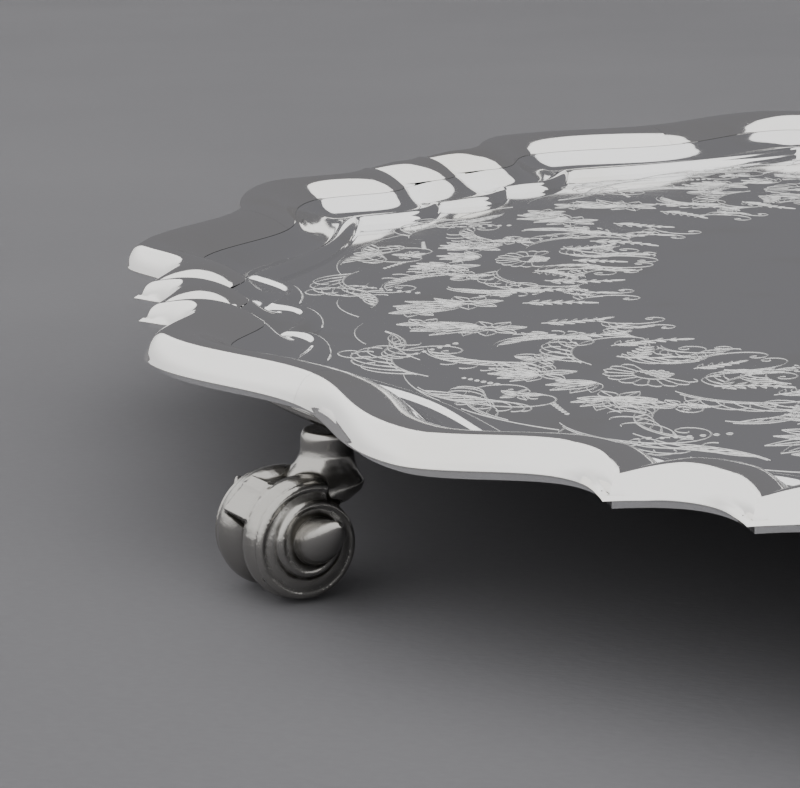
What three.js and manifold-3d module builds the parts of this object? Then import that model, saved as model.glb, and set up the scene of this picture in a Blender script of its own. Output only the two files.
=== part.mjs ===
// A silver salver: a raised sheet tray with a cast scalloped border and four scroll feet.
// Millimetres, +Z up. The origin is on the ground under the middle of the tray.
// The tray is round in its ground plan except for its scalloped edge, so the sheet and the
// border are swept round +Z: a profile drawn inwards from the edge follows the outline.

import * as THREE from 'three';
import * as BufferGeometryUtils from 'three/addons/utils/BufferGeometryUtils.js';
import Module from 'manifold-3d';

const wasm = await Module();
wasm.setup();

// ---------------------------------------------------------------- driving dimensions

// Outline, seen from above. One repeat has a corner motif and one long hollow curve.
const REPEATS = 8;
const HORN_RADIUS = 155;        // centre of the tray to the rounded horns of the outline
const BAY_DEPTH = 6.8;          // how far the middle of the long hollow lies inside that
const HOLLOW_DEPTH = 7.4;       // the soft hollow between a horn and a sharp point
const POINT_DEPTH = 3.3;        // the sharp points of a corner
const MIDDLE_DEPTH = 7.4;       // the hollow between the two points of a corner
const POINT_ANGLE = 2.9;        // degrees from a corner's middle to each sharp point
const HOLLOW_ANGLE = 6;         // degrees from a corner's middle to each soft hollow
const HORN_ANGLE = 12;          // degrees from a corner's middle to each rounded horn
const STEPS_CORNER = 2;         // facets from a corner's middle to a point
const STEPS_HOLLOW = 2;         // from the point to the soft hollow
const STEPS_HORN = 3;           // from the soft hollow to the horn
const STEPS_BAY = 3;            // from the horn to the middle of the bay

// Heights above the ground.
const RIM_HEIGHT = 23.7;         // top of the border
const WELL_DROP = 5.9;          // top of the border down to the flat of the well

// Border casting, sizes measured inwards from the outline.
const BEAD_WIDTH = 10.4;        // broad outer roll
const BEAD_FACE = 3.4;          // height of the roll's outer face
const BEAD_INNER_DROP = 2.4;    // the roll's inner edge lies this far below its top
const SKIRT = 1.2;              // lip of the casting that covers the sheet's cut edge

// Sheet.
const SHEET = 1.3;              // thickness
const STEP_START = 18.8;        // foot of the hollow rise, where the small step begins
const STEP_WIDTH = 4.6;
const STEP_HEIGHT = 0.8;
const WELL_START = 24;          // edge of the flat of the well

// Feet.
const FOOT_COUNT = 4;
const FOOT_INSET = 4.2;         // middle of a bay in to the axis of the foot's neck
const PAD_THICKNESS = 1.2;
const PAD_LENGTH = 21;          // along the rim
const PAD_START = 1.9;          // nearest edge of the pad, in from the outline
const PAD_WIDTH = 12;           // across the rim
const NECK_TOP_RADIUS = 3.4;
const NECK_WAIST_RADIUS = 2.2;
const ROLL_RADIUS = 7.2;        // the volute's outer turn
const ROLL_HALF_WIDTH = 5.4;    // its half width along the rim
const ROLL_OFFSET = 5.2;          // the volute stands this far outside the neck
const BOSS_RADIUS = 2.7;        // pointed boss on each side of the volute
const BOSS_LENGTH = 4.6;
const GROUND_FLAT = 0.3;        // depth of the worn flat under the volute

const GAP = 0.3;                // solder gap between two pieces

// ---------------------------------------------------------------- materials

const polishedSilver = () => new THREE.MeshStandardMaterial({
  color: 0xe9e8e6, roughness: 0.08, metalness: 1,
});
const wellSilver = () => new THREE.MeshStandardMaterial({
  color: 0xd9d9da, roughness: 0.12, metalness: 1,
});
const castSilver = () => new THREE.MeshStandardMaterial({
  color: 0xb4b2ad, roughness: 0.35, metalness: 1,
});

// ---------------------------------------------------------------- outline

const bayRadius = HORN_RADIUS - BAY_DEPTH;
const rad = THREE.MathUtils.degToRad;
const REPEAT_ANGLE = 360 / REPEATS;

// Stretches of the outline over half a repeat, in degrees from the corner's middle. Each
// leaves its first depth smoothly; a sharp one meets its second depth at a slope.
const STRETCHES = [
  { from: 0, to: POINT_ANGLE, depth0: MIDDLE_DEPTH, depth1: POINT_DEPTH,
    sharp: true, steps: STEPS_CORNER },
  { from: HOLLOW_ANGLE, to: POINT_ANGLE, depth0: HOLLOW_DEPTH, depth1: POINT_DEPTH,
    sharp: true, steps: STEPS_HOLLOW },
  { from: HOLLOW_ANGLE, to: HORN_ANGLE, depth0: HOLLOW_DEPTH, depth1: 0,
    sharp: false, steps: STEPS_HORN },
  { from: HORN_ANGLE, to: REPEAT_ANGLE / 2, depth0: 0, depth1: BAY_DEPTH,
    sharp: false, steps: STEPS_BAY },
];

// Radius of the outline at an angle in degrees from a corner's middle.
function outlineRadius(angle) {
  const folded = Math.abs(THREE.MathUtils.euclideanModulo(
    angle + REPEAT_ANGLE / 2, REPEAT_ANGLE,
  ) - REPEAT_ANGLE / 2);
  const stretch = STRETCHES.find(({ from, to }) => (
    folded >= Math.min(from, to) && folded <= Math.max(from, to)
  ));
  const u = (folded - stretch.from) / (stretch.to - stretch.from);
  const share = stretch.sharp ? u * u : (1 - Math.cos(Math.PI * u)) / 2;
  return HORN_RADIUS - THREE.MathUtils.lerp(stretch.depth0, stretch.depth1, share);
}

// Facet angles of one repeat, from the middle of one bay to the middle of the next.
function repeatAngles() {
  const half = [0];
  for (const { from, to, steps } of STRETCHES) {
    for (let i = 0; i <= steps; i += 1) {
      half.push(THREE.MathUtils.lerp(from, to, i / steps));
    }
  }
  const all = [...half, ...half.map((angle) => -angle)].sort((a, b) => a - b);
  return all.filter((angle, i) => i === 0 || angle - all[i - 1] > 1e-6);
}

// Corner motifs lie half a repeat away from the feet, and the first foot is at 45 degrees.
const FIRST_FOOT_ANGLE = 45;
const cornerAngle = (index) => FIRST_FOOT_ANGLE + REPEAT_ANGLE / 2 + index * REPEAT_ANGLE;

// ---------------------------------------------------------------- sweeping

// Geometry of numbered rings of points. Each ring is a closed loop of equal length, and
// consecutive rings are joined; caps close the two ends when the sweep isn't a full turn.
function sweep(rings, fullTurn) {
  const n = rings[0].length;
  const positions = rings.flat().flatMap((p) => [p.x, p.y, p.z]);
  const index = [];
  const last = fullTurn ? rings.length : rings.length - 1;
  for (let i = 0; i < last; i += 1) {
    const a = i * n;
    const b = ((i + 1) % rings.length) * n;
    for (let j = 0; j < n; j += 1) {
      const k = (j + 1) % n;
      index.push(a + j, b + j, b + k, a + j, b + k, a + k);
    }
  }
  return { positions, index, n };
}

function toGeometry({ positions, index }) {
  const geometry = new THREE.BufferGeometry();
  geometry.setAttribute('position', new THREE.Float32BufferAttribute(positions, 3));
  geometry.setIndex(index);
  return geometry;
}

// A point of a radial profile: s is the distance in from the outline, z the height.
function swept(angle, cornerMiddle, point) {
  const r = outlineRadius(angle) - point.x;
  const a = rad(cornerMiddle + angle);
  return new THREE.Vector3(r * Math.cos(a), r * Math.sin(a), point.y);
}

// ---------------------------------------------------------------- sheet and border

const underBead = RIM_HEIGHT - BEAD_INNER_DROP;   // top of the casting's inner edge
const flangeTop = underBead - GAP - 0.3;
const wellTop = RIM_HEIGHT - WELL_DROP;

// Upper face of the sheet from the flange in to the flat: (distance in, height).
function sheetUpperFace() {
  const stepTop = wellTop + STEP_HEIGHT;
  const riseStart = BEAD_WIDTH + GAP;
  const rise = flangeTop - stepTop + 0.35;
  const points = [new THREE.Vector2(SKIRT + GAP, flangeTop)];
  const riseFacets = 3;
  for (let i = 0; i <= riseFacets; i += 1) {
    const u = i / riseFacets;
    const s = THREE.MathUtils.lerp(riseStart, STEP_START, u);
    points.push(new THREE.Vector2(s, stepTop - 0.35 + rise * (1 - u) ** 2));
  }
  points.push(new THREE.Vector2(STEP_START + STEP_WIDTH * 0.4, stepTop));
  points.push(new THREE.Vector2(STEP_START + STEP_WIDTH * 0.85, stepTop - 0.25));
  points.push(new THREE.Vector2(WELL_START, wellTop));
  return points;
}

function trayPlate() {
  const upper = sheetUpperFace();
  const lower = upper.map((p) => new THREE.Vector2(p.x, p.y - SHEET));
  const profile = [...upper, ...lower.reverse()];
  const rings = [];
  for (let k = 0; k < REPEATS; k += 1) {
    for (const angle of repeatAngles().slice(0, -1)) {
      rings.push(profile.map((p) => swept(angle, cornerAngle(k), p)));
    }
  }
  const body = sweep(rings, true);
  // The loop of each ring closes across the sheet at the well's edge. Those quads are
  // left out, and two fans close the flat of the well above and below.
  const { positions, n } = body;
  const topRow = upper.length - 1;
  const index = [];
  const centreTop = positions.length / 3;
  positions.push(0, 0, wellTop, 0, 0, wellTop - SHEET);
  for (let i = 0; i < rings.length; i += 1) {
    const a = i * n;
    const b = ((i + 1) % rings.length) * n;
    for (let j = 0; j < n; j += 1) {
      if (j !== topRow) {
        const k = (j + 1) % n;
        index.push(a + j, b + j, b + k, a + j, b + k, a + k);
      }
    }
    index.push(a + topRow, b + topRow, centreTop);
    index.push(b + topRow + 1, a + topRow + 1, centreTop + 1);
  }
  return toGeometry({ positions, index });
}

// Section of the border casting: the broad roll, its lip over the sheet's cut edge and
// the flat that is soldered to the flange.
function borderProfile() {
  const top = RIM_HEIGHT;
  return [
    [0.5, top - BEAD_FACE],
    [SKIRT, top - BEAD_FACE + 0.2],
    [SKIRT, flangeTop + GAP],
    [BEAD_WIDTH, flangeTop + GAP],
    [BEAD_WIDTH, underBead],
    [BEAD_WIDTH * 0.82, top - BEAD_INNER_DROP * 0.52],
    [BEAD_WIDTH * 0.6, top - BEAD_INNER_DROP * 0.16],
    [BEAD_WIDTH * 0.4, top],
    [BEAD_WIDTH * 0.2, top - BEAD_FACE * 0.1],
    [BEAD_WIDTH * 0.06, top - BEAD_FACE * 0.32],
    [0, top - BEAD_FACE * 0.62],
  ].reverse().map(([s, z]) => new THREE.Vector2(s, z));
}

// One casting. Its two ends stand back half a solder gap from its neighbours'.
function borderSection(index) {
  const profile = borderProfile();
  const half = REPEAT_ANGLE / 2;
  const seam = THREE.MathUtils.radToDeg(GAP / 2 / (bayRadius - BEAD_WIDTH));
  const angles = repeatAngles();
  angles[0] = -half + seam;
  angles[angles.length - 1] = half - seam;
  const rings = angles.map((angle) => profile.map((p) => swept(angle, cornerAngle(index), p)));
  const body = sweep(rings, false);
  const faces = THREE.ShapeUtils.triangulateShape(profile, []);
  const lastRing = (rings.length - 1) * body.n;
  for (const [a, b, c] of faces) {
    body.index.push(c, b, a);
    body.index.push(lastRing + a, lastRing + b, lastRing + c);
  }
  return toGeometry(body);
}

// ---------------------------------------------------------------- feet

// Lower face of the sheet, read between its profile points.
function sheetUnderside(s) {
  const upper = sheetUpperFace();
  let i = 1;
  while (i < upper.length - 1 && upper[i].x < s) i += 1;
  const u = (s - upper[i - 1].x) / (upper[i].x - upper[i - 1].x);
  return THREE.MathUtils.lerp(upper[i - 1].y, upper[i].y, u) - SHEET;
}

const footAngle = (index) => FIRST_FOOT_ANGLE + (index * 360) / FOOT_COUNT;
const neckRadius = bayRadius - FOOT_INSET;

// A closed body under the tray, centred on a foot, whose upper and lower faces lie at
// given depths below the sheet. Its ends are rounded in plan by a factor from 0 to 1.
function underSheetBody(length, start, width, upperDepth, lowerDepth, roundness) {
  const stations = 8;
  const across = 5;
  const rings = [];
  for (let i = 0; i <= stations; i += 1) {
    const v = (2 * i) / stations - 1;
    const angle = THREE.MathUtils.radToDeg((v * length) / 2 / neckRadius);
    const share = Math.sqrt(1 - roundness * v * v);
    const middle = start + width / 2;
    const row = [];
    for (let j = 0; j <= across; j += 1) {
      row.push(middle + (j / across - 0.5) * width * share);
    }
    const outline = outlineRadius(REPEAT_ANGLE / 2 + angle);
    const place = (s, depth) => {
      const a = rad(angle);
      const r = bayRadius - s;
      return new THREE.Vector3(r * Math.sin(a), r * Math.cos(a) - neckRadius,
        sheetUnderside(outline - r) - depth);
    };
    rings.push([...row.map((s) => place(s, upperDepth)),
      ...row.reverse().map((s) => place(s, lowerDepth))]);
  }
  const body = sweep(rings.reverse(), false);
  const lastRing = (rings.length - 1) * body.n;
  const half = body.n / 2;
  for (let j = 0; j < half - 1; j += 1) {
    const a = j;
    const b = j + 1;
    const c = body.n - 2 - j;
    const d = body.n - 1 - j;
    body.index.push(a, b, c, a, c, d);
    body.index.push(lastRing + c, lastRing + b, lastRing + a);
    body.index.push(lastRing + d, lastRing + c, lastRing + a);
  }
  return toGeometry(body);
}

const footPad = () => underSheetBody(
  PAD_LENGTH, PAD_START, PAD_WIDTH, GAP, GAP + PAD_THICKNESS, 0.8,
);

// Loft of ellipses that stand across +Z, each {z, y, a, b}: centre (0, y, z), half axes
// a along the rim and b across it.
function loft(sections, sides) {
  const rings = sections.map(({ z, y, a, b }) => {
    const ring = [];
    for (let i = 0; i < sides; i += 1) {
      const t = (2 * Math.PI * i) / sides;
      ring.push(new THREE.Vector3(a * Math.cos(t), y + b * Math.sin(t), z));
    }
    return ring;
  });
  const body = sweep(rings.reverse(), false);
  const { positions, index, n } = body;
  const centre = positions.length / 3;
  const top = sections[sections.length - 1];
  const bottom = sections[0];
  positions.push(0, top.y, top.z, 0, bottom.y, bottom.z);
  const lastRing = (rings.length - 1) * n;
  for (let j = 0; j < n; j += 1) {
    const k = (j + 1) % n;
    index.push(centre, j, k);
    index.push(centre + 1, lastRing + k, lastRing + j);
  }
  return toGeometry(body);
}

function neck() {
  const collar = 2 * ROLL_RADIUS - 0.8;
  const top = flangeTop + 1;
  const waist = THREE.MathUtils.lerp(collar, top, 0.35);
  return loft([
    { z: ROLL_RADIUS, y: ROLL_OFFSET * 0.9, a: ROLL_HALF_WIDTH * 0.8, b: ROLL_RADIUS * 0.6 },
    { z: ROLL_RADIUS * 1.5, y: ROLL_OFFSET * 0.75, a: ROLL_HALF_WIDTH, b: ROLL_RADIUS * 0.7 },
    { z: collar, y: ROLL_OFFSET * 0.5, a: ROLL_HALF_WIDTH * 1.1, b: ROLL_RADIUS * 0.78 },
    { z: THREE.MathUtils.lerp(collar, waist, 0.3), y: ROLL_OFFSET * 0.4,
      a: ROLL_HALF_WIDTH, b: ROLL_RADIUS * 0.62 },
    { z: waist, y: 0, a: NECK_WAIST_RADIUS, b: NECK_WAIST_RADIUS },
    { z: THREE.MathUtils.lerp(waist, top, 0.45), y: 0,
      a: NECK_WAIST_RADIUS * 1.15, b: NECK_WAIST_RADIUS * 1.1 },
    { z: top, y: 0, a: NECK_TOP_RADIUS, b: NECK_TOP_RADIUS * 0.8 },
  ], 12);
}

// The volute turned about its own axis, which lies along the rim.
function roll() {
  const side = [
    [ROLL_HALF_WIDTH + BOSS_LENGTH, 0],
    [ROLL_HALF_WIDTH + BOSS_LENGTH * 0.8, BOSS_RADIUS * 0.3],
    [ROLL_HALF_WIDTH + BOSS_LENGTH * 0.3, BOSS_RADIUS * 0.8],
    [ROLL_HALF_WIDTH, BOSS_RADIUS],
    [ROLL_HALF_WIDTH * 0.9, ROLL_RADIUS * 0.72],
    [ROLL_HALF_WIDTH * 0.7, ROLL_RADIUS * 0.95],
    [ROLL_HALF_WIDTH * 0.35, ROLL_RADIUS],
  ];
  const profile = [
    ...side.map(([x, r]) => new THREE.Vector2(r, -x)),
    new THREE.Vector2(ROLL_RADIUS * 0.98, 0),
    ...side.slice().reverse().map(([x, r]) => new THREE.Vector2(r, x)),
  ];
  const geometry = new THREE.LatheGeometry(profile, 18);
  geometry.rotateZ(-Math.PI / 2);
  geometry.translate(0, ROLL_OFFSET, ROLL_RADIUS - GROUND_FLAT);
  return geometry;
}

// ---------------------------------------------------------------- joining and cutting

function solidOf(geometry) {
  const bare = geometry.clone();
  bare.deleteAttribute('normal');
  bare.deleteAttribute('uv');
  const merged = BufferGeometryUtils.mergeVertices(bare, 1e-4);
  return new wasm.Manifold(new wasm.Mesh({
    numProp: 3,
    vertProperties: new Float32Array(merged.attributes.position.array),
    triVerts: new Uint32Array(merged.index.array),
  }));
}

function geometryOf(solid) {
  const mesh = solid.getMesh();
  return toGeometry({
    positions: Array.from(mesh.vertProperties),
    index: Array.from(mesh.triVerts),
  });
}

// The casting: neck and volute joined, cut to fit under its pad and flat on the ground.
function footCasting() {
  const height = RIM_HEIGHT;
  const ceiling = underSheetBody(
    PAD_LENGTH, PAD_START - 1.9, PAD_WIDTH + 4, -height, 2 * GAP + PAD_THICKNESS, 0,
  );
  const ground = new THREE.BoxGeometry(4 * ROLL_RADIUS, 4 * ROLL_RADIUS, ROLL_RADIUS);
  ground.translate(0, ROLL_OFFSET, -ROLL_RADIUS / 2);
  const casting = solidOf(neck())
    .add(solidOf(roll()))
    .subtract(solidOf(ceiling))
    .subtract(solidOf(ground));
  return geometryOf(casting);
}

// ---------------------------------------------------------------- assembly

const salver = new THREE.Group();

function addPiece(parent, name, geometry, material) {
  const piece = new THREE.Mesh(geometry, material);
  piece.name = name;
  parent.add(piece);
}

addPiece(salver, 'tray_plate', trayPlate(), wellSilver());

for (let i = 0; i < REPEATS; i += 1) {
  addPiece(salver, `border_section_${i + 1}`, borderSection(i), polishedSilver());
}

for (let i = 0; i < FOOT_COUNT; i += 1) {
  const place = new THREE.Group();
  const angle = rad(footAngle(i));
  place.position.set(neckRadius * Math.cos(angle), neckRadius * Math.sin(angle), 0);
  place.rotation.z = angle - Math.PI / 2;
  salver.add(place);
  addPiece(place, `foot_pad_${i + 1}`, footPad(), castSilver());
  addPiece(place, `foot_${i + 1}`, footCasting(), castSilver());
}

export default salver;
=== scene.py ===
import math

import bmesh
import bpy
import numpy as np
from mathutils import Euler, Matrix, Vector


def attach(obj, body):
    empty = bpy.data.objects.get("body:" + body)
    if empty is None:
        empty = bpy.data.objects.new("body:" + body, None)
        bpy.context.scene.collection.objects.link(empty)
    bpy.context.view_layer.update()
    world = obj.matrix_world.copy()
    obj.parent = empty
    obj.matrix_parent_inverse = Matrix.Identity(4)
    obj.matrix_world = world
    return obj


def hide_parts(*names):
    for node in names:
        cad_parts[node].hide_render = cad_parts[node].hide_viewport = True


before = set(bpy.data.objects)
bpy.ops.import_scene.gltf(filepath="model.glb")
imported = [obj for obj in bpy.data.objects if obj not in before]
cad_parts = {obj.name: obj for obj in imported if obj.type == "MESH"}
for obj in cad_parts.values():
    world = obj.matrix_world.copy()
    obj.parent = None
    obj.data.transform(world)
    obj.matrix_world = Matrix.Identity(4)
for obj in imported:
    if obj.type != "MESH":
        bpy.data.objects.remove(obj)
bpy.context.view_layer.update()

MM = 0.001

# ------------------------------------------------------------------ sizes, in mm and degrees

REPEATS = 8
REPEAT_ANGLE = 360 / REPEATS
HORN_RADIUS = 155.0
BAY_RADIUS = 148.2
HOLLOW_RADIUS = 147.6
POINT_RADIUS = 151.7
MIDDLE_RADIUS = 147.6
POINT_ANGLE = 2.9
HOLLOW_ANGLE = 6.0
HORN_ANGLE = 12.0
FEET = 4
FIRST_FOOT_ANGLE = 45.0

RIM_HEIGHT = 23.7
WELL_DROP = 5.9
BEAD_WIDTH = 10.4
SHEET = 1.3                  # thickness of the sheet
FLANGE_START = 1.5           # from the outline in to the edge of the sheet, under the bead
FLANGE_DROP = 3.0            # from the rim down to the sheet's upper face there
FLANGE_INNER_DROP = 2.98     # and just under the bead's inner edge
DIP_INSET = 0.25             # from the bead's inner edge out to where the sheet dips under it
SEAM = 0.03                  # hairline between two border castings
SEAM_RADIUS = 140.0          # where the hairline has that width

# The well's edge: cusps inwards of the points and the horns, arcs between them.
POINT_CUSP_ANGLE, POINT_CUSP_RADIUS = 4.0, 132.0
HORN_CUSP_ANGLE, HORN_CUSP_RADIUS = 12.2, 135.5
MIDDLE_ARC, SIDE_ARC, BAY_ARC = 127.6, 129.8, 130.4

# Valleys across the border: how deep, and over how many degrees to each side.
POINT_VALLEY_DEPTH, POINT_VALLEY_WIDTH = 1.35, 1.9
HORN_VALLEY_DEPTH, HORN_VALLEY_WIDTH = 0.28, 1.6
BEAD_VALLEY_SHARE = 0.8      # of that depth, on the bead
HOLLOW_VALLEY_SHARE = 0.66   # and at the outer edge of the hollow
NOTCH_SHARE = 0.6            # and how much of it notches the outline
NOTCH_REACH = 1.5            # how far in the notch dies away

LINE_WEIGHT = 0.54           # all widths of cut lines are multiplied by this
ENGRAVING_LIFT = 0.05        # height of a cut line's ridge
ENGRAVING_CLEARANCE = 0.004  # between the flat and a line's edges
ENGRAVING_RADIUS = 112.0     # where distances along the rim are true
BANDS_MEET_RADIUS = 110      # scrolls outside it, sprays inside it

FOOT_INSET = 4.2
NECK_AXIS = BAY_RADIUS - FOOT_INSET
VOLUTE_RADIUS = 7.2
VOLUTE_OFFSET = 5.2
FOOT_VOXEL = 0.16            # grain at which the foot's parts are run together
FOOT_SINK = 0.05             # trimmed off the lowest point, for a small flat to stand on
PAD_LENGTH, PAD_WIDTH = 25.0, 12.0
PAD_START = 1.2              # from the outline in to the pad
PAD_EDGE = 0.45              # thickness at the pad's edge
PAD_CROWN = 0.8              # how much thicker its middle is
PAD_CLEARANCE = 0.03         # between the sheet and the pad

WELL_HEIGHT = RIM_HEIGHT - WELL_DROP


# ------------------------------------------------------------------ outline and well edge

def outline_radius(angle):
    """Radius of the salver's outline; angle in degrees from a corner's middle."""
    a = abs((angle + REPEAT_ANGLE / 2) % REPEAT_ANGLE - REPEAT_ANGLE / 2)
    if a <= POINT_ANGLE:
        return MIDDLE_RADIUS + (POINT_RADIUS - MIDDLE_RADIUS) * (a / POINT_ANGLE) ** 2
    if a <= HOLLOW_ANGLE:
        u = (HOLLOW_ANGLE - a) / (HOLLOW_ANGLE - POINT_ANGLE)
        return HOLLOW_RADIUS + (POINT_RADIUS - HOLLOW_RADIUS) * u ** 2
    if a <= HORN_ANGLE:
        u = (a - HOLLOW_ANGLE) / (HORN_ANGLE - HOLLOW_ANGLE)
        return HOLLOW_RADIUS + (HORN_RADIUS - HOLLOW_RADIUS) * (1 - math.cos(math.pi * u)) / 2
    u = (a - HORN_ANGLE) / (REPEAT_ANGLE / 2 - HORN_ANGLE)
    return HORN_RADIUS + (BAY_RADIUS - HORN_RADIUS) * (1 - math.cos(math.pi * u)) / 2


def well_radius(angle):
    """Radius of the edge of the well; the same kind of angle, already fanned."""
    a = abs((angle + REPEAT_ANGLE / 2) % REPEAT_ANGLE - REPEAT_ANGLE / 2)

    def arc(a0, a1, r0, r1, rm):
        u = (a - a0) / (a1 - a0)
        return r0 + (r1 - r0) * u - ((r0 + r1) / 2 - rm) * 4 * u * (1 - u)

    if a <= POINT_CUSP_ANGLE:
        return arc(-POINT_CUSP_ANGLE, POINT_CUSP_ANGLE, POINT_CUSP_RADIUS,
                   POINT_CUSP_RADIUS, MIDDLE_ARC)
    if a <= HORN_CUSP_ANGLE:
        return arc(POINT_CUSP_ANGLE, HORN_CUSP_ANGLE, POINT_CUSP_RADIUS,
                   HORN_CUSP_RADIUS, SIDE_ARC)
    return arc(HORN_CUSP_ANGLE, REPEAT_ANGLE - HORN_CUSP_ANGLE, HORN_CUSP_RADIUS,
               HORN_CUSP_RADIUS, BAY_ARC)


def fanned(angle, share):
    """The creases fan out a little on their way in; share is 0 at the bead, 1 at the well."""
    inner = np.interp(abs(angle), [0, POINT_ANGLE, HORN_ANGLE, REPEAT_ANGLE / 2],
                      [0, POINT_CUSP_ANGLE, HORN_CUSP_ANGLE, REPEAT_ANGLE / 2])
    return math.copysign(abs(angle) + (inner - abs(angle)) * share, angle)


def crease(angle, share):
    """Depth of the valley that runs in from each point, and of the faint ones at the horns."""
    valley = 0.0
    for at, deep, wide in ((POINT_ANGLE, POINT_VALLEY_DEPTH, POINT_VALLEY_WIDTH),
                           (HORN_ANGLE, HORN_VALLEY_DEPTH * share, HORN_VALLEY_WIDTH)):
        d = abs(abs(angle) - at) / wide
        if d < 1:
            valley += deep * (1 - d) ** 1.6
    return valley


def repeat_angles():
    """Columns of one repeat, closer together beside the points."""
    half = []
    for a0, a1, steps in ((0, POINT_ANGLE, 14), (POINT_ANGLE, HOLLOW_ANGLE, 14),
                          (HOLLOW_ANGLE, HORN_ANGLE, 14), (HORN_ANGLE, REPEAT_ANGLE / 2, 16)):
        half += [a0 + (a1 - a0) * i / steps for i in range(steps)]
    half.append(REPEAT_ANGLE / 2)
    return [-a for a in reversed(half[1:])] + half


def corner_angle(index):
    """Bearing of a corner's middle, halfway between two bays."""
    return FIRST_FOOT_ANGLE + REPEAT_ANGLE / 2 + index * REPEAT_ANGLE


def smooth_curve(points, steps):
    """A Catmull-Rom curve through 2-D points, with that many steps between neighbours."""
    p = [np.array(q, float) for q in points]
    p = [2 * p[0] - p[1]] + p + [2 * p[-1] - p[-2]]
    out = []
    for i in range(1, len(p) - 2):
        for k in range(steps):
            t = k / steps
            out.append(0.5 * (2 * p[i] + (p[i + 1] - p[i - 1]) * t
                              + (2 * p[i - 1] - 5 * p[i] + 4 * p[i + 1] - p[i + 2]) * t ** 2
                              + (3 * p[i] - p[i - 1] - 3 * p[i + 1] + p[i + 2]) * t ** 3))
    out.append(p[-2])
    return out


# ------------------------------------------------------------------ meshes

def mesh_from_mm(name, points, faces):
    mesh = bpy.data.meshes.new(name)
    mesh.from_pydata([tuple(v * MM for v in p) for p in points], [], faces)
    return mesh


def make_piece(name, points, faces, material, sharp=None):
    """An object from points in millimetres; sharp is an angle in degrees."""
    mesh = mesh_from_mm(name, points, faces)
    mesh.validate()
    return finish_piece(name, mesh, material, sharp)


def finish_piece(name, mesh, material, sharp=None):
    mesh.shade_smooth()
    if sharp is not None:
        mesh.set_sharp_from_angle(angle=math.radians(sharp))
    mesh.materials.clear()
    mesh.materials.append(material)
    obj = bpy.data.objects.new(name, mesh)
    bpy.context.scene.collection.objects.link(obj)
    return obj


def declare(obj, slot, *nodes):
    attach(obj, "root")
    if nodes:
        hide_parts(*nodes)
    return obj


def capped_rings(rings, n):
    """Quads between neighbouring closed rings of n points each, and a cap at both ends."""
    faces = []
    for i in range(rings - 1):
        a, b = i * n, (i + 1) * n
        for j in range(n):
            k = (j + 1) % n
            faces.append((a + j, b + j, b + k, a + k))
    last = (rings - 1) * n
    return faces + [tuple(range(n)), tuple(last + j for j in reversed(range(n)))]


# ------------------------------------------------------------------ shader helpers

class Val:
    """A shader value. Operators add Math nodes to its tree."""

    def __init__(self, tree, socket):
        self.tree, self.socket = tree, socket

    def math(self, kind, *others):
        return add(self.tree, "ShaderNodeMath", {i: v for i, v in enumerate((self, *others))},
                   0, operation=kind)

    def reflected(self, kind, other):
        return add(self.tree, "ShaderNodeMath", {0: other, 1: self}, 0, operation=kind)

    def __add__(self, other):
        return self.math("ADD", other)

    def __sub__(self, other):
        return self.math("SUBTRACT", other)

    def __rsub__(self, other):
        return self.reflected("SUBTRACT", other)

    def __mul__(self, other):
        return self.math("MULTIPLY", other)

    def __truediv__(self, other):
        return self.math("DIVIDE", other)

    def __rtruediv__(self, other):
        return self.reflected("DIVIDE", other)

    __radd__, __rmul__ = __add__, __mul__

    def stepped(self, low, high):
        """0 below low and 1 above high, with a smooth step between them."""
        return add(self.tree, "ShaderNodeMapRange", {0: self, 1: low, 2: high, 3: 0.0, 4: 1.0},
                   0, interpolation_type="SMOOTHSTEP")

    def colours(self, first, second):
        """A mix of two colours by this value."""
        return add(self.tree, "ShaderNodeMix", {0: self, 6: first, 7: second}, 2,
                   data_type="RGBA")


def add(tree, kind, inputs, output=None, **settings):
    """The one place that makes nodes: inputs by index or name, values or Vals."""
    node = tree.nodes.new(kind)
    for key, value in settings.items():
        setattr(node, key, value)
    for key, value in inputs.items():
        if isinstance(value, Val):
            tree.links.new(value.socket, node.inputs[key])
        else:
            node.inputs[key].default_value = value
    return None if output is None else Val(tree, node.outputs[output])


def start_material(name):
    material = bpy.data.materials.new(name)
    material.use_nodes = True
    return material, material.node_tree, material.node_tree.nodes["Principled BSDF"]


def put(tree, shader, **inputs):
    """Sets or links a shader's sockets by name, with _ for a space."""
    for key, value in inputs.items():
        socket = shader.inputs[key.replace("_", " ")]
        if isinstance(value, Val):
            tree.links.new(value.socket, socket)
        else:
            socket.default_value = value


def place_on(tree, stretch=(1, 1, 1), turn=0.0):
    """Object coordinates, stretched and turned about the vertical."""
    at = add(tree, "ShaderNodeTexCoord", {}, "Object")
    return add(tree, "ShaderNodeMapping", {"Vector": at, "Scale": stretch,
               "Rotation": (0, 0, turn)}, 0)


def grain(tree, at, scale, detail=3.0, rough=0.5):
    return add(tree, "ShaderNodeTexNoise", {"Vector": at, "Scale": scale, "Detail": detail,
               "Roughness": rough}, "Fac")


def bump(tree, height, distance, strength=1.0):
    return add(tree, "ShaderNodeBump", {"Height": height, "Distance": distance,
               "Strength": strength}, 0)


def polish_scratches(tree, turns=(0.3, 1.25, 2.2)):
    """Hairline polishing scratches in a few directions, 0 to 1."""
    total = None
    for i, turn in enumerate(turns):
        at = place_on(tree, (60, 2600 + 300 * i, 900), turn)
        line = grain(tree, at, 1.0, 2.0, 0.6).stepped(0.66, 0.78)
        total = line if total is None else total + line
    return total


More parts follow.
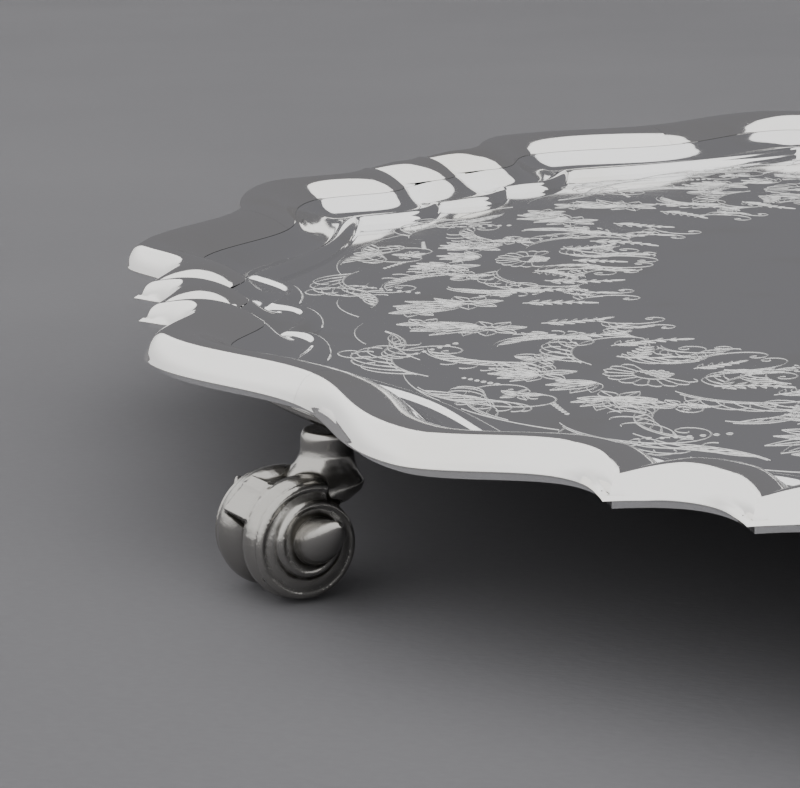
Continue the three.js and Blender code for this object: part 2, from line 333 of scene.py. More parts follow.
def polished_silver(name, colour, worn, haze):
    """Mirror-polished silver: hairline scratches, faint hand smears, a breath of tarnish."""
    material, tree, shader = start_material(name)
    scratches = polish_scratches(tree)
    smear = grain(tree, place_on(tree, (1, 1.6, 1), 0.5), 26, 4, 0.6).stepped(0.45, 0.72)
    cloudy = grain(tree, place_on(tree), 60, 3).stepped(0.5, 0.8)
    put(tree, shader, Metallic=1.0, Base_Color=cloudy.colours(
        colour, (colour[0] * 0.95, colour[1] * 0.94, colour[2] * 0.9, 1)),
        Roughness=scratches * worn + smear * haze + 0.045,
        Normal=bump(tree, scratches, 0.000004, 0.25))
    return material


def cast_silver(name):
    """Satin cast silver with painted shade: nearly black and rougher in the recesses, with random
    mottling; its low base colour is painted dark reflection.
    """
    material, tree, shader = start_material(name)
    deep = add(tree, "ShaderNodeAttribute", {}, "Fac", attribute_name="recess")
    mottled = grain(tree, place_on(tree), 420, 5, 0.65)
    pitted = grain(tree, place_on(tree), 1900, 3, 0.6)
    # painted shade: recesses darken to near black, mixed with random mottled tone
    shade_and_mottle = (deep * 1.1 + (mottled - 0.5) * 0.6).stepped(0.12, 0.75)
    put(tree, shader, Metallic=1.0,
        # the bright end is kept low as painted dark reflection
        Base_Color=shade_and_mottle.colours((0.4, 0.39, 0.37, 1), (0.045, 0.042, 0.036, 1)),
        Roughness=shade_and_mottle * 0.25 + mottled * 0.14 + 0.15,
        Normal=bump(tree, mottled * 0.6 + pitted * 0.4, 0.00012, 0.35))
    return material


def engraved_silver(name):
    """Bright-cut line: frosty facets."""
    material, tree, shader = start_material(name)
    cuts = grain(tree, place_on(tree), 5200, 2)
    put(tree, shader, Metallic=1.0,
        Base_Color=cuts.colours((0.78, 0.78, 0.77, 1), (0.6, 0.6, 0.6, 1)),
        Roughness=cuts * 0.2 + 0.36,
        Normal=bump(tree, cuts, 0.00004, 0.5))
    return material


BORDER_SILVER = polished_silver("polished border silver", (0.93, 0.92, 0.9, 1), 0.05, 0.03)
SHEET_SILVER = polished_silver("polished sheet silver", (0.9, 0.9, 0.9, 1), 0.09, 0.05)
CAST_SILVER = cast_silver("cast foot silver")
ENGRAVED_SILVER = engraved_silver("engraved silver")


# ------------------------------------------------------------------ border castings

def bead_section():
    """Upper line of the broad bead from its outer foot in to the groove: (in, drop)."""
    return smooth_curve([
        (0.3, 3.4), (0.02, 3.28), (0.12, 2.9), (0.42, 2.1), (0.88, 1.28), (1.5, 0.6),
        (2.5, 0.1), (3.6, 0.0), (5.2, 0.16), (7.0, 0.66), (8.6, 1.4), (9.7, 2.08),
        (BEAD_WIDTH - 0.15, 2.46), (BEAD_WIDTH, 2.62)], 4)


def fading(drop, end, over):
    """1 high on the bead, falling to 0 over a height that ends at that drop."""
    return max(0.0, min(1.0, (end - drop) / over))


def border_casting(index):
    """One casting of the border: the bead of one repeat, closed underneath."""
    top = bead_section()
    under = [(BEAD_WIDTH - 0.1, 2.78), (1.35, 2.8), (1.25, 3.38)]
    angles = repeat_angles()
    seam = math.degrees(SEAM / 2 / SEAM_RADIUS)
    angles[0] += seam
    angles[-1] -= seam
    points, n = [], len(top) + len(under)
    for angle in angles:
        r0 = outline_radius(angle)
        turn = math.radians(corner_angle(index) + angle)
        valley = crease(angle, 0)
        for k, (s, drop) in enumerate([*top, *under]):
            # The creases cut the upper face only, and die out towards its lower edge.
            fade = fading(drop, 3.3, 0.6) if k < len(top) else 0.0
            notch = valley * NOTCH_SHARE * math.exp(-s / NOTCH_REACH) * fade
            r = r0 - s - notch
            z = (RIM_HEIGHT - drop
                 - valley * BEAD_VALLEY_SHARE * fade * fading(drop, 2.9, 0.8))
            points.append((r * math.cos(turn), r * math.sin(turn), z))
    faces = [tuple(reversed(f)) for f in capped_rings(len(angles), n)]
    obj = make_piece(f"border_casting_{index + 1}", points, faces, BORDER_SILVER, 32)
    return declare(obj, "border_silver", f"border_section_{index + 1}")


# ------------------------------------------------------------------ sheet

def hollow_section():
    """The hollow and the small step between the groove and the well: (share, drop)."""
    return smooth_curve([
        (0.0, 2.7), (0.03, 2.86), (0.1, 3.3), (0.2, 4.02), (0.33, 4.68), (0.48, 5.1),
        (0.6, 5.16), (0.66, 5.12), (0.7, 4.96), (0.75, 4.74), (0.81, 4.6), (0.88, 4.66),
        (0.94, 5.0), (0.98, 5.48), (1.0, WELL_DROP)], 3)


def tray_sheet():
    """The sheet: columns of points from its edge in to the middle and back underneath."""
    hollow = hollow_section()
    flat_rings = (0.985, 0.96, 0.9, 0.8, 0.62, 0.42, 0.22, 0.08)
    angles = repeat_angles()[:-1]
    upper_count = 2 + len(hollow) + len(flat_rings)
    points = []
    for k in range(REPEATS):
        for angle in angles:
            r0 = outline_radius(angle)
            turn0 = math.radians(corner_angle(k) + angle)
            column = [(r0 - FLANGE_START, turn0, RIM_HEIGHT - FLANGE_DROP),
                      (r0 - BEAD_WIDTH + DIP_INSET, turn0, RIM_HEIGHT - FLANGE_INNER_DROP)]
            for share, drop in hollow:
                a = fanned(angle, share)
                r1 = well_radius(a)
                r = (r0 - BEAD_WIDTH) * (1 - share) + r1 * share
                valley = crease(angle, share) * (1 - share ** 6)
                weaker = 1 - 0.35 * share
                column.append((r, math.radians(corner_angle(k) + a),
                               RIM_HEIGHT - drop - valley * HOLLOW_VALLEY_SHARE * weaker
                               if share < 0.995 else WELL_HEIGHT))
            edge_turn, edge_r = column[-1][1], column[-1][0]
            for share in flat_rings:
                column.append((edge_r * share, edge_turn, WELL_HEIGHT))
            lower = []
            for r, turn, z in column:
                lower.append((r, turn, max(z - SHEET, WELL_HEIGHT - SHEET) if r < edge_r * 0.99
                              else z - SHEET))
            column += lower[::-1]
            points += [(r * math.cos(t), r * math.sin(t), z) for r, t, z in column]
    n = 2 * upper_count
    rings = REPEATS * len(angles)
    faces = []
    for i in range(rings):
        a, b = i * n, ((i + 1) % rings) * n
        for j in range(n):
            if j == upper_count - 1:
                continue
            k = (j + 1) % n
            faces.append((a + j, b + j, b + k, a + k))
    top, bottom = len(points), len(points) + 1
    points += [(0, 0, WELL_HEIGHT), (0, 0, WELL_HEIGHT - SHEET)]
    for i in range(rings):
        a, b = i * n, ((i + 1) % rings) * n
        faces.append((a + upper_count - 1, b + upper_count - 1, top))
        faces.append((b + upper_count, a + upper_count, bottom))
    obj = make_piece("tray_sheet", points, faces, SHEET_SILVER, 38)
    return declare(obj, "sheet_silver", "tray_plate")


# ------------------------------------------------------------------ engraving

class Graver:
    """Collects cut lines of one repeat as ribbons: x along the rim, y outwards, in mm."""

    def __init__(self):
        self.lines = []

    def line(self, points, width=0.42, taper=True):
        p = np.array(points, float)
        if len(p) > 1:
            self.lines.append((p, width * LINE_WEIGHT, taper))

    def bent(self, x, y, heading, length, bend, width=0.42, steps=7):
        """A line that starts at a heading in degrees and turns by bend degrees."""
        pts = [(x, y)]
        for i in range(steps):
            t = math.radians(heading + bend * (i + 0.5) / steps)
            pts.append((pts[-1][0] + math.cos(t) * length / steps,
                        pts[-1][1] + math.sin(t) * length / steps))
        self.line(pts, width)
        return pts

    def curl(self, x, y, heading, size, turns=1.15, hand=1, width=0.46):
        """A scroll that tightens as it goes."""
        pts, t, n = [(x, y)], math.radians(heading), 18
        for i in range(n):
            u = i / n
            step = size * (1 - 0.86 * u) * 0.27
            t += hand * math.radians(360 * turns / n) * (0.35 + 1.25 * u)
            pts.append((pts[-1][0] + math.cos(t) * step, pts[-1][1] + math.sin(t) * step))
        self.line(pts, width)
        return pts

    def leaf(self, x, y, heading, length, width, vein=True, bend=0.0):
        """Two curved edges that meet at a tip, with or without a vein."""
        h = math.radians(heading)
        c, s = math.cos(h), math.sin(h)
        for hand in (-1, 1):
            pts = []
            for i in range(7):
                u = i / 6
                w = hand * width / 2 * math.sin(math.pi * u ** 0.8) + bend * u * u
                pts.append((x + c * length * u - s * w, y + s * length * u + c * w))
            self.line(pts, 0.34)
        if vein:
            pts = [(x + c * length * u - s * bend * u * u, y + s * length * u + c * bend * u * u)
                   for u in (0.1, 0.35, 0.6, 0.85)]
            self.line(pts, 0.26)

    def fern(self, x, y, heading, length, pairs, size, bend):
        """A sprig: pairs of leaves that get smaller along a bent spine."""
        spine = self.bent(x, y, heading, length, bend, 0.34, pairs * 2)
        for i in range(1, pairs + 1):
            px, py = spine[min(2 * i - 1, len(spine) - 1)]
            way = heading + bend * i / pairs
            reach = size * (1.1 - 0.6 * i / pairs)
            for hand in (-1, 1):
                self.leaf(px, py, way + hand * 48, reach, reach * 0.28, False)
        self.leaf(*spine[-1], heading + bend, size * 0.8, size * 0.26, False)

    def flower(self, x, y, size, petals, turn):
        for i in range(petals):
            a = turn + 360 * i / petals
            r = math.radians(a)
            self.leaf(x + math.cos(r) * size * 0.2, y + math.sin(r) * size * 0.2, a,
                      size * 0.82, size * 0.5)
        self.ring(x, y, size * 0.18)

    def ring(self, x, y, radius, width=0.3):
        self.line([(x + radius * math.cos(t), y + radius * math.sin(t))
                   for t in np.linspace(0, 2 * math.pi, 13)], width, False)

    def dots(self, points):
        """A row of small rings, each smaller than the last."""
        for i, (x, y) in enumerate(points):
            self.ring(x, y, 0.34 * (1 - 0.06 * i), 0.26)

    def acanthus(self, x, y, heading, length, bend, hand, lobes, size):
        """A scrolling stem with lobed leaves on its outer side and a curl at its end."""
        stem = self.bent(x, y, heading, length, bend, 0.55, 14)
        back = [(p[0] + 0.5, p[1] + 0.45) for p in stem[1:-2]]
        self.line(back, 0.26)
        for i in range(lobes):
            px, py = stem[2 + i * 2 if 2 + i * 2 < len(stem) else -1]
            way = heading + bend * (2 + i * 2) / 14 + hand * 52
            reach = size * (0.75 + 0.35 * math.sin(math.pi * (i + 1) / (lobes + 1)))
            self.curl(px, py, way, reach * 1.5, 0.62, -hand, 0.4)
            self.bent(px, py, way - hand * 22, reach * 0.8, hand * 30, 0.26, 4)
        self.curl(*stem[-1], heading + bend, size * 2.1, 1.35, math.copysign(1, bend), 0.5)


def shell(g, x, y, size):
    """A fluted shell that opens towards the rim, with scales at its base."""
    for i in range(11):
        a = math.radians(-15 + 21 * i)
        c, s = math.cos(a), math.sin(a)
        g.line([(x + c * size * u, y + s * size * u * 0.72) for u in (0.42, 0.7, 0.98)], 0.5)
        b = a + math.radians(10.5)
        g.line([(x + math.cos(a + (b - a) * 2 * u) * size * (0.98 + 0.14 * math.sin(math.pi * u)),
                 y + math.sin(a + (b - a) * 2 * u) * size * 0.72
                 * (0.98 + 0.14 * math.sin(math.pi * u))) for u in (0, 0.25, 0.5, 0.75, 1)], 0.34)
    for row in range(3):
        for k in range(5 - row):
            g.ring(x + (k - (4 - row) / 2) * size * 0.17, y - size * (0.05 + 0.13 * row),
                   size * 0.075, 0.24)
    g.line([(x + size * 0.42 * math.cos(t), y + size * 0.3 * math.sin(t))
            for t in np.linspace(-0.25, math.pi + 0.25, 13)], 0.45)


def cut_repeat():
    """The half of a repeat on one side of a bay's middle (x = 0); the other mirrors it."""
    g = Graver()
    g.acanthus(8.5, 127.5, 172, 12, 42, 1, 5, 2.6)
    g.acanthus(12.5, 124.0, 28, 13, -66, 1, 5, 2.7)
    g.bent(2.0, 128.6, 0, 13, -22, 0.3, 8)
    for heading, length in ((20, 7), (2, 8), (-18, 7.5), (42, 6), (64, 5), (-40, 6.5), (88, 4.5)):
        g.leaf(7.0, 112.5, heading, length, length * 0.4, True, 1.1)
    g.flower(8.0, 112.0, 4.4, 6, 12)
    g.flower(15.0, 108.5, 3.2, 5, 40)
    g.acanthus(9.0, 104.5, 8, 15, -58, 1, 6, 2.5)
    g.acanthus(12.0, 99.5, 205, 9, 66, -1, 4, 2.1)
    g.fern(10.0, 99.5, -62, 8, 5, 2.6, 34)
    g.fern(18.5, 97.5, -70, 9, 5, 2.8, -40)
    g.acanthus(3.0, 93.0, -30, 8, -80, 1, 4, 1.7)
    g.acanthus(15.5, 92.0, 160, 8, 70, -1, 4, 1.7)
    g.bent(5.0, 96.5, -100, 7, 60, 0.3, 7)
    g.fern(27.0, 101.5, -112, 8, 5, 2.6, 36)
    g.acanthus(22.0, 92.5, 20, 8, -70, 1, 4, 1.7)
    g.acanthus(26.0, 118.5, 160, 13, 74, 1, 6, 2.6)
    g.acanthus(23.5, 110.5, -20, 11, -92, -1, 5, 2.4)
    g.acanthus(37.0, 121.0, 206, 12, -64, -1, 5, 2.5)
    g.dots([(27.5 - 0.75 * i, 114.5 + 1.25 * i) for i in range(7)])
    g.dots([(5.5 + 0.9 * i, 119.0 + 0.35 * i) for i in range(6)])
    for heading, length in ((110, 8), (88, 9), (64, 8), (140, 6), (40, 6)):
        g.leaf(36.5, 109.0, heading, length, length * 0.3, True, 0.6)
    g.flower(35.0, 108.0, 4.6, 7, 5)
    g.flower(40.0, 115.5, 3.4, 6, 22)
    g.fern(31.0, 105.0, 205, 8, 4, 2.8, 30)
    g.fern(36.5, 101.0, -96, 8, 5, 2.6, 24)
    g.acanthus(36.0, 93.5, 190, 7, 80, -1, 4, 1.6)
    g.bent(20.5, 121.5, 12, 15, -34, 0.3, 9)
    g.bent(30.5, 125.0, 10, 12, -40, 0.3, 9)
    return g


def middle_of_bay():
    """What stands on a bay's middle, and isn't mirrored: a shell, leaves and a flower."""
    g = Graver()
    shell(g, 0, 101.5, 6.4)
    for heading, length in ((90, 6.5), (66, 6), (114, 6), (42, 5), (138, 5)):
        g.leaf(0, 109.0, heading, length, length * 0.38)
    g.fern(0, 95.5, -90, 6, 4, 2.4, 0)
    g.flower(0, 119.5, 2.6, 5, 90)
    return g


def ribbon(points, faces, line, width, taper, turn, mirror):
    """A cut line as a low ridge with two facets, wrapped round the tray's middle."""
    n = len(line)
    base = len(points)
    c, s = math.cos(turn), math.sin(turn)
    tangent = np.gradient(line, axis=0)
    tangent /= np.maximum(np.linalg.norm(tangent, axis=1), 1e-9)[:, None]
    normal = np.c_[-tangent[:, 1], tangent[:, 0]]
    for i in range(n):
        u = i / (n - 1)
        w = width / 2 * (0.25 + 0.75 * math.sin(math.pi * (0.06 + 0.88 * u)) if taper else 1)
        for off, z in ((-w, 0.0), (0.0, ENGRAVING_LIFT), (w, 0.0)):
            x, y = line[i] + normal[i] * off
            x = -x if mirror else x
            bearing = x / ENGRAVING_RADIUS
            px, py = y * math.sin(bearing), y * math.cos(bearing)
            points.append((px * c - py * s, px * s + py * c,
                           WELL_HEIGHT + ENGRAVING_CLEARANCE + z))
    for i in range(n - 1):
        a, b = base + i * 3, base + i * 3 + 3
        for j in (0, 1):
            face = (a + j, b + j, b + j + 1, a + j + 1)
            faces.append(tuple(reversed(face)) if not mirror else face)


def repeat_round_tree():
    """Geometry nodes that set one repeat of a pattern round the middle of the tray."""
    tree = bpy.data.node_groups.new("repeat round the tray", "GeometryNodeTree")
    for name, kind in (("Pattern", "Geometry"), ("Repeats", "Int"), ("Finish", "Material")):
        tree.interface.new_socket(name, in_out="INPUT", socket_type=f"NodeSocket{kind}")
    tree.interface.new_socket("Pattern", in_out="OUTPUT", socket_type="NodeSocketGeometry")
    pattern, repeats, finish = (add(tree, "NodeGroupInput", {}, name)
                                for name in ("Pattern", "Repeats", "Finish"))
    places = add(tree, "GeometryNodePoints", {"Count": repeats}, 0)
    turn = add(tree, "GeometryNodeInputIndex", {}, 0) * (2 * math.pi / repeats)
    turned = add(tree, "ShaderNodeCombineXYZ", {"Z": turn}, 0)
    copies = add(tree, "GeometryNodeInstanceOnPoints", {"Points": places,
                 "Instance": pattern, "Rotation": turned}, 0)
    real = add(tree, "GeometryNodeRealizeInstances", {"Geometry": copies}, 0)
    done = add(tree, "GeometryNodeSetMaterial", {"Geometry": real, "Material": finish}, 0)
    add(tree, "NodeGroupOutput", {"Pattern": done})
    return tree


def repeated_round(name, points, faces, material, tree):
    """A piece made of one repeat's mesh set round the tray."""
    one = make_piece(name + "_repeat", points, faces, material)
    inputs = {item.name: item.identifier for item in tree.interface.items_tree
              if item.in_out == "INPUT"}
    repeat = one.modifiers.new("repeat", "NODES")
    repeat.node_group = tree
    repeat[inputs["Repeats"]] = REPEATS
    repeat[inputs["Finish"]] = material
    mesh = bpy.data.meshes.new_from_object(
        one.evaluated_get(bpy.context.evaluated_depsgraph_get()))
    bpy.data.objects.remove(one)
    return finish_piece(name, mesh, material, 5)


def engraving():
    """Two bands: the scrolls next to the border, and the sprays nearer the middle."""
    tree = repeat_round_tree()
    side, middle = cut_repeat().lines, middle_of_bay().lines
    turn = math.radians(FIRST_FOOT_ANGLE - 90)
    for name, near, far in (("engraved_scrolls", BANDS_MEET_RADIUS, HORN_RADIUS),
                            ("engraved_sprays", 0, BANDS_MEET_RADIUS)):
        points, faces = [], []
        for lines, mirrors in ((side, (False, True)), (middle, (False,))):
            for line, width, taper in lines:
                if near <= line[:, 1].mean() < far:
                    for mirror in mirrors:
                        ribbon(points, faces, line, width, taper, turn, mirror)
        piece = repeated_round(name, points, faces, ENGRAVED_SILVER, tree)
        declare(piece, "sheet_silver")


# ------------------------------------------------------------------ feet

def tube(bm, path, radii, sides=20):
    """A closed tube of round sections along points in mm."""
    path = [Vector(p) for p in path]
    rings = []
    across = Vector((1, 0, 0))
    for i, p in enumerate(path):
        way = (path[min(i + 1, len(path) - 1)] - path[max(i - 1, 0)]).normalized()
        across = (across - way * across.dot(way)).normalized()
        other = way.cross(across)
        rings.append([bm.verts.new(p + (across * math.cos(t) + other * math.sin(t)) * radii[i])
                      for t in (2 * math.pi * j / sides for j in range(sides))])
    for a, b in zip(rings, rings[1:]):
        for j in range(sides):
            k = (j + 1) % sides
            bm.faces.new((a[j], a[k], b[k], b[j]))
    bm.faces.new(rings[0][::-1])
    bm.faces.new(rings[-1])


def oval_stack(bm, sections, sides=36):
    """A closed stack of ovals (z, y, half width along the rim, half depth, squareness)."""
    rings = []
    for z, y, a, b, square in sections:
        ring = []
        for j in range(sides):
            t = 2 * math.pi * j / sides
            c, s = math.cos(t), math.sin(t)
            c = math.copysign(abs(c) ** (1 - square), c)
            s = math.copysign(abs(s) ** (1 - square), s)
            ring.append(bm.verts.new((a * c, y + b * s, z)))
        rings.append(ring)
    for low, high in zip(rings, rings[1:]):
        for j in range(sides):
            k = (j + 1) % sides
            bm.faces.new((low[j], low[k], high[k], high[j]))
    bm.faces.new(rings[0][::-1])
    bm.faces.new(rings[-1])


def whorl(bm, hand):
    """One side of the volute: a snail's whorl that winds out to a pointed boss."""
    start, turns = math.radians(112), 2.7

    def winding(u):
        """Bearing, distance from the volute's axis, thickness and place across, at u."""
        t = start - 2 * math.pi * turns * u
        return t, 4.75 * (1 - u) ** 0.9, 2.4 * (1 - u) ** 0.75 + 0.35, 2.6 + 3.7 * u

    path, radii, ridge, widths = [], [], [], []
    for i in range(121):
        u = i / 120
        t, ring, size, x = winding(u)
        path.append((hand * x, VOLUTE_OFFSET + ring * math.cos(t),
                     VOLUTE_RADIUS + 1.1 * u + ring * math.sin(t)))
        radii.append(size)
        reach = ring + size * 0.62
        ridge.append((hand * (x + size * 0.7), VOLUTE_OFFSET + reach * math.cos(t),
                      VOLUTE_RADIUS + 1.1 * u + reach * math.sin(t)))
        widths.append(0.6 * (1 - 0.4 * u))
    tube(bm, path, radii)
    shown = 104              # the ridge stops where the boss covers it
    tube(bm, ridge[:shown], widths[:shown], 8)
    boss, sizes = [], []
    for i in range(19):
        u = i / 18
        boss.append((hand * (5.4 + 6.5 * u), VOLUTE_OFFSET, VOLUTE_RADIUS + 1.0 + 3.1 * u ** 1.7))
        sizes.append(2.55 * (1 - u ** 1.25) ** 0.72 + 0.28)
    tube(bm, boss, sizes, 28)


def foot_mesh():
    """The foot as cast: neck, saddle, paired whorls, all run together. Its axis is x = 0."""
    bm = bmesh.new()
    y = VOLUTE_OFFSET
    oval_stack(bm, [
        (11.0, 2.9, 4.0, 4.8, 0.1), (12.1, 2.0, 4.5, 5.2, 0.2), (12.9, 1.3, 4.4, 4.8, 0.2),
        (13.5, 1.1, 4.0, 4.3, 0.1), (14.2, 0.8, 3.5, 3.8, 0.0), (15.0, 0.5, 3.1, 3.3, 0.0),
        (15.8, 0.3, 2.85, 3.0, 0.0), (16.6, 0.2, 2.85, 2.9, 0.0), (17.3, 0.1, 3.0, 3.0, 0.0),
        (17.9, 0.0, 3.2, 3.0, 0.0), (18.5, -0.2, 3.1, 2.8, 0.0)])
    # Strap that runs out from the neck's saddle and turns over the volute.
    strap = bmesh.ops.create_cube(bm, size=1.0)["verts"]
    bmesh.ops.transform(bm, matrix=(
        Matrix.Translation((0, y + 0.2, VOLUTE_RADIUS + 5.3))
        @ Euler((math.radians(-4), 0, 0)).to_matrix().to_4x4()
        @ Matrix.Diagonal((6.4, 8.0, 2.4, 1))), verts=strap)
    block = bmesh.ops.create_cube(bm, size=1.0)["verts"]
    bmesh.ops.transform(bm, matrix=(
        Matrix.Translation((0, y + 3.2, VOLUTE_RADIUS + 3.6))
        @ Euler((math.radians(-46), 0, 0)).to_matrix().to_4x4()
        @ Matrix.Diagonal((5.0, 4.8, 4.8, 1))), verts=block)
    for v in (*strap, *block):
        if v.co.z > VOLUTE_RADIUS + 5.2:
            v.co.x *= 0.72
    for hand in (-1, 1):
        whorl(bm, hand)
    tube(bm, [(x, y, VOLUTE_RADIUS) for x in (-3.4, -1.6, 0.0, 1.6, 3.4)],
         [5.7, 5.4, 5.1, 5.4, 5.7], 40)
    bmesh.ops.triangulate(bm, faces=bm.faces)
    mesh = bpy.data.meshes.new("foot parts")
    bm.to_mesh(mesh)
    bm.free()
    obj = bpy.data.objects.new("foot parts", mesh)
    bpy.context.scene.collection.objects.link(obj)
    fuse = obj.modifiers.new("fuse", "REMESH")
    fuse.mode = "VOXEL"
    fuse.voxel_size = FOOT_VOXEL
    relax = obj.modifiers.new("relax", "SMOOTH")
    relax.factor = 0.5
    relax.iterations = 6
    solid = bpy.data.meshes.new_from_object(
        obj.evaluated_get(bpy.context.evaluated_depsgraph_get()))
    bpy.data.objects.remove(obj)
    return solid


def mark_recess(mesh):
    """Stores how hollow each point's surroundings are, 0 to 1, for the painted shade in the
    recesses; in mm.
    """
    smoothings, softenings, full_depth = 14, 3, 0.09
    count = len(mesh.vertices)
    at = np.zeros(count * 3)
    mesh.vertices.foreach_get("co", at)
    at = at.reshape(-1, 3)
    out = np.zeros(count * 3)
    mesh.vertices.foreach_get("normal", out)
    out = out.reshape(-1, 3)
    ends = np.zeros(len(mesh.edges) * 2, int)
    mesh.edges.foreach_get("vertices", ends)
    ends = ends.reshape(-1, 2)
    degree = np.maximum(np.bincount(ends.ravel(), minlength=count), 1)

    def spread(values):
        total = np.zeros_like(values)
        np.add.at(total, ends[:, 0], values[ends[:, 1]])
        np.add.at(total, ends[:, 1], values[ends[:, 0]])
        return total / (degree[:, None] if values.ndim == 2 else degree)

    smooth = at.copy()
    for _ in range(smoothings):
        smooth = spread(smooth)
    hollow = np.einsum("ij,ij->i", smooth - at, out)
    for _ in range(softenings):
        hollow = spread(hollow)
    value = np.clip(hollow / full_depth, 0, 1)
    layer = mesh.attributes.new("recess", "FLOAT", "POINT")
    layer.data.foreach_set("value", value.astype(np.float32))


def foot_place(index):
    """Puts what is built round a neck, with +Y outwards, at its place round the tray."""
    angle = math.radians(FIRST_FOOT_ANGLE + 360 / FEET * index)
    return (Matrix.Translation((NECK_AXIS * MM * math.cos(angle),
                                NECK_AXIS * MM * math.sin(angle), 0))
            @ Matrix.Rotation(angle - math.pi / 2, 4, "Z"))


def feet():
    solid = foot_mesh()
    low = min(v.co.z for v in solid.vertices)
    for v in solid.vertices:
        v.co.z = max(v.co.z - low - FOOT_SINK, 0.0)
    mark_recess(solid)
    for k in range(FEET):
        mesh = solid.copy()
        mesh.transform(foot_place(k) @ Matrix.Scale(MM, 4))
        obj = finish_piece(f"scroll_foot_{k + 1}", mesh, CAST_SILVER, 60)
        declare(obj, "cast_silver", f"foot_{k + 1}")


def underside(r, bearing):
    """Height of the sheet's lower face at a radius, near the middle of a bay."""
    s = outline_radius(REPEAT_ANGLE / 2 + bearing) - r
    if s < BEAD_WIDTH:
        return RIM_HEIGHT - FLANGE_DROP - SHEET
    hollow = hollow_section()
    share = (s - BEAD_WIDTH) / (BAY_RADIUS - BEAD_WIDTH - BAY_ARC)
    drop = np.interp(share, [h[0] for h in hollow], [h[1] for h in hollow])
    return RIM_HEIGHT - max(drop, FLANGE_INNER_DROP) - SHEET


def foot_pad(index):
    """The rounded strip that spreads the foot's load under the sheet."""
    stations, across = 48, 14
    points = []
    for i in range(stations + 1):
        v = 2 * i / stations - 1
        reach = PAD_WIDTH / 2 * max(0.01, (1 - abs(v) ** 3)) ** 0.5
        bearing = v * PAD_LENGTH / 2 / NECK_AXIS
        row = []
        for j in range(across + 1):
            w = 2 * j / across - 1
            s = PAD_START + reach * (1 + w)
            row.append((BAY_RADIUS - s, w))
        for face in (0, 1):
            for r, w in (row if face == 0 else row[::-1]):
                z = underside(r, math.degrees(bearing)) - PAD_CLEARANCE
                if face:
                    edge = (1 - w * w) * (1 - v * v)
                    z -= PAD_EDGE + PAD_CROWN * min(1, edge * 3) ** 0.5
                points.append((r * math.sin(bearing), r * math.cos(bearing) - NECK_AXIS, z))
    n = 2 * (across + 1)
    mesh = mesh_from_mm("pad", points, capped_rings(stations + 1, n))
    mesh.transform(foot_place(index))
    obj = finish_piece(f"leaf_pad_{index + 1}", mesh, CAST_SILVER, 40)
    return declare(obj, "cast_silver", f"foot_pad_{index + 1}")


# ------------------------------------------------------------------ build

for i in range(REPEATS):
    border_casting(i)
tray_sheet()
engraving()
feet()
for i in range(FEET):
    foot_pad(i)


# ------------------------------------------------------------------ stage, light, camera

LOOK = math.radians(15.15)   # from +Y round to the line of sight, about the vertical
TILT_DOWN = 12.941           # degrees
ROLL = -0.945                # degrees
LENS = 123.4                 # mm
CAMERA_PLACE = (-0.0191, -0.3775, RIM_HEIGHT * MM + 0.0633)   # metres

STAGE_RADIUS = 2.8           # metres, wide enough for every view to be taken inside it
TENT_RADIUS = 2.7
TENT_LOW_EDGE = 0.8          # degrees above the floor, seen from the salver
TENT_OPEN_EDGE = 44          # and on the far side to the right, which is left open
TENT_START = -160            # degrees from the near side, where the low edge begins
TENT_CLOSED_SHARE = 0.71     # of the turn; the rest is the open side


def in_view(x, y, z):
    """A point given across, along and above the line of sight, in metres."""
    c, s = math.cos(LOOK), math.sin(LOOK)
    return (x * c - y * s, x * s + y * c, z)


def cloth(name):
    """Plain woven cloth."""
    material, tree, shader = start_material(name)
    soft = grain(tree, place_on(tree), 9, 3)
    weave = grain(tree, place_on(tree, (700, 1500, 700), -LOOK), 1.0, 2)
    put(tree, shader, Specular_IOR_Level=0.2, Roughness=weave * 0.1 + 0.8,
        Base_Color=(soft * 0.6 + weave * 0.4).stepped(0.25, 0.75).colours(
            (0.135, 0.134, 0.142, 1), (0.155, 0.154, 0.162, 1)),
        Normal=bump(tree, weave, 0.0001, 0.3))
    return material


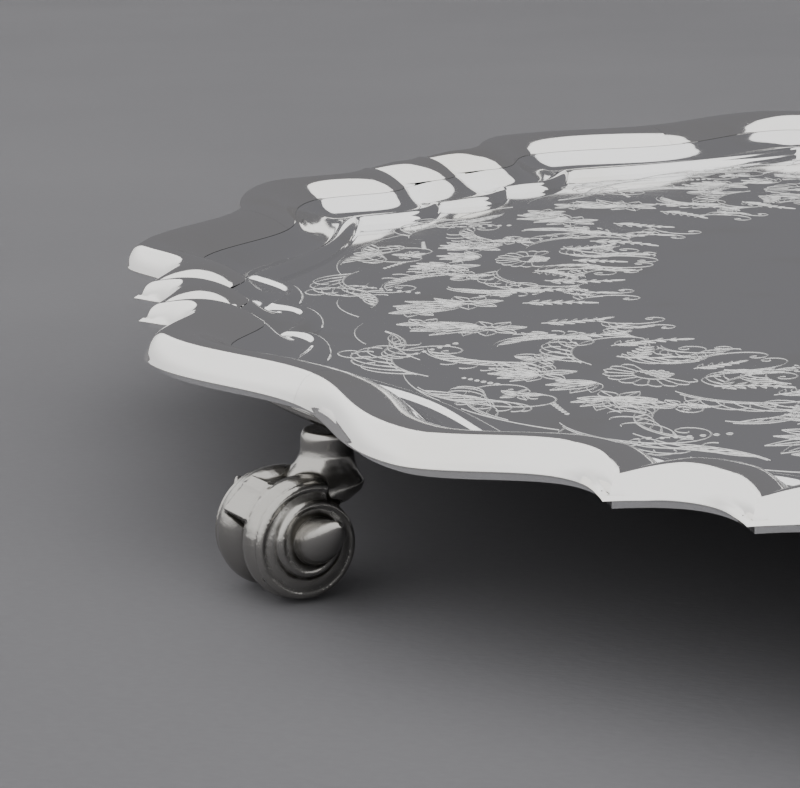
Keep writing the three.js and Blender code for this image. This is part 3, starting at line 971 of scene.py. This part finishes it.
def cloth_floor():
    """Cloth that lies flat under the salver."""
    sides = 64
    points = [(STAGE_RADIUS * math.cos(t), STAGE_RADIUS * math.sin(t), -0.0002)
              for t in (2 * math.pi * i / sides for i in range(sides))]
    mesh = bpy.data.meshes.new("cloth_floor")
    mesh.from_pydata(points, [], [tuple(range(sides))])
    finish_piece("cloth_floor", mesh, cloth("grey cloth"))


def light_tent():
    """White diffusing cloth lit from outside, dimmer near the floor and open on one side."""
    material, tree, shader = start_material("lit diffusing cloth")
    height = add(tree, "ShaderNodeSeparateXYZ", {0: place_on(tree)}, "Z")
    put(tree, shader, Base_Color=(0.8, 0.8, 0.8, 1), Roughness=1.0, Emission_Strength=1.1,
        Emission_Color=height.stepped(0.1, 1.0).colours(
            (0.46, 0.46, 0.455, 1), (1.0, 0.995, 0.985, 1)))
    points, faces = [], []
    columns, rows = 72, 24
    for i in range(columns):
        around = math.radians(TENT_START + 360 * i / columns)
        low = TENT_LOW_EDGE if i < columns * TENT_CLOSED_SHARE else TENT_OPEN_EDGE
        for j in range(rows + 1):
            up = math.radians(low + (89.8 - low) * j / rows)
            across, rise = TENT_RADIUS * math.cos(up), TENT_RADIUS * math.sin(up)
            points.append(in_view(across * math.sin(around), -across * math.cos(around), rise))
    for i in range(columns):
        for j in range(rows):
            a, b = i * (rows + 1) + j, (i + 1) % columns * (rows + 1) + j
            faces.append((a, a + 1, b + 1, b))
    mesh = bpy.data.meshes.new("light_tent")
    mesh.from_pydata(points, [], faces)
    finish_piece("light_tent", mesh, material)


cloth_floor()
light_tent()

world = bpy.data.worlds.new("studio")
world.use_nodes = True
put(world.node_tree, world.node_tree.nodes["Background"], Color=(0.19, 0.188, 0.198, 1),
    Strength=1.0)
bpy.context.scene.world = world

camera_data = bpy.data.cameras.new("camera")
camera_data.sensor_width = 36
camera_data.lens = LENS
camera_data.clip_start = 0.01
camera = bpy.data.objects.new("camera", camera_data)
camera.location = CAMERA_PLACE
camera.rotation_euler = (Matrix.Rotation(LOOK, 3, "Z")
                         @ Matrix.Rotation(math.radians(90 - TILT_DOWN), 3, "X")
                         @ Matrix.Rotation(math.radians(ROLL), 3, "Z")).to_euler()
bpy.context.scene.collection.objects.link(camera)
bpy.context.scene.camera = camera
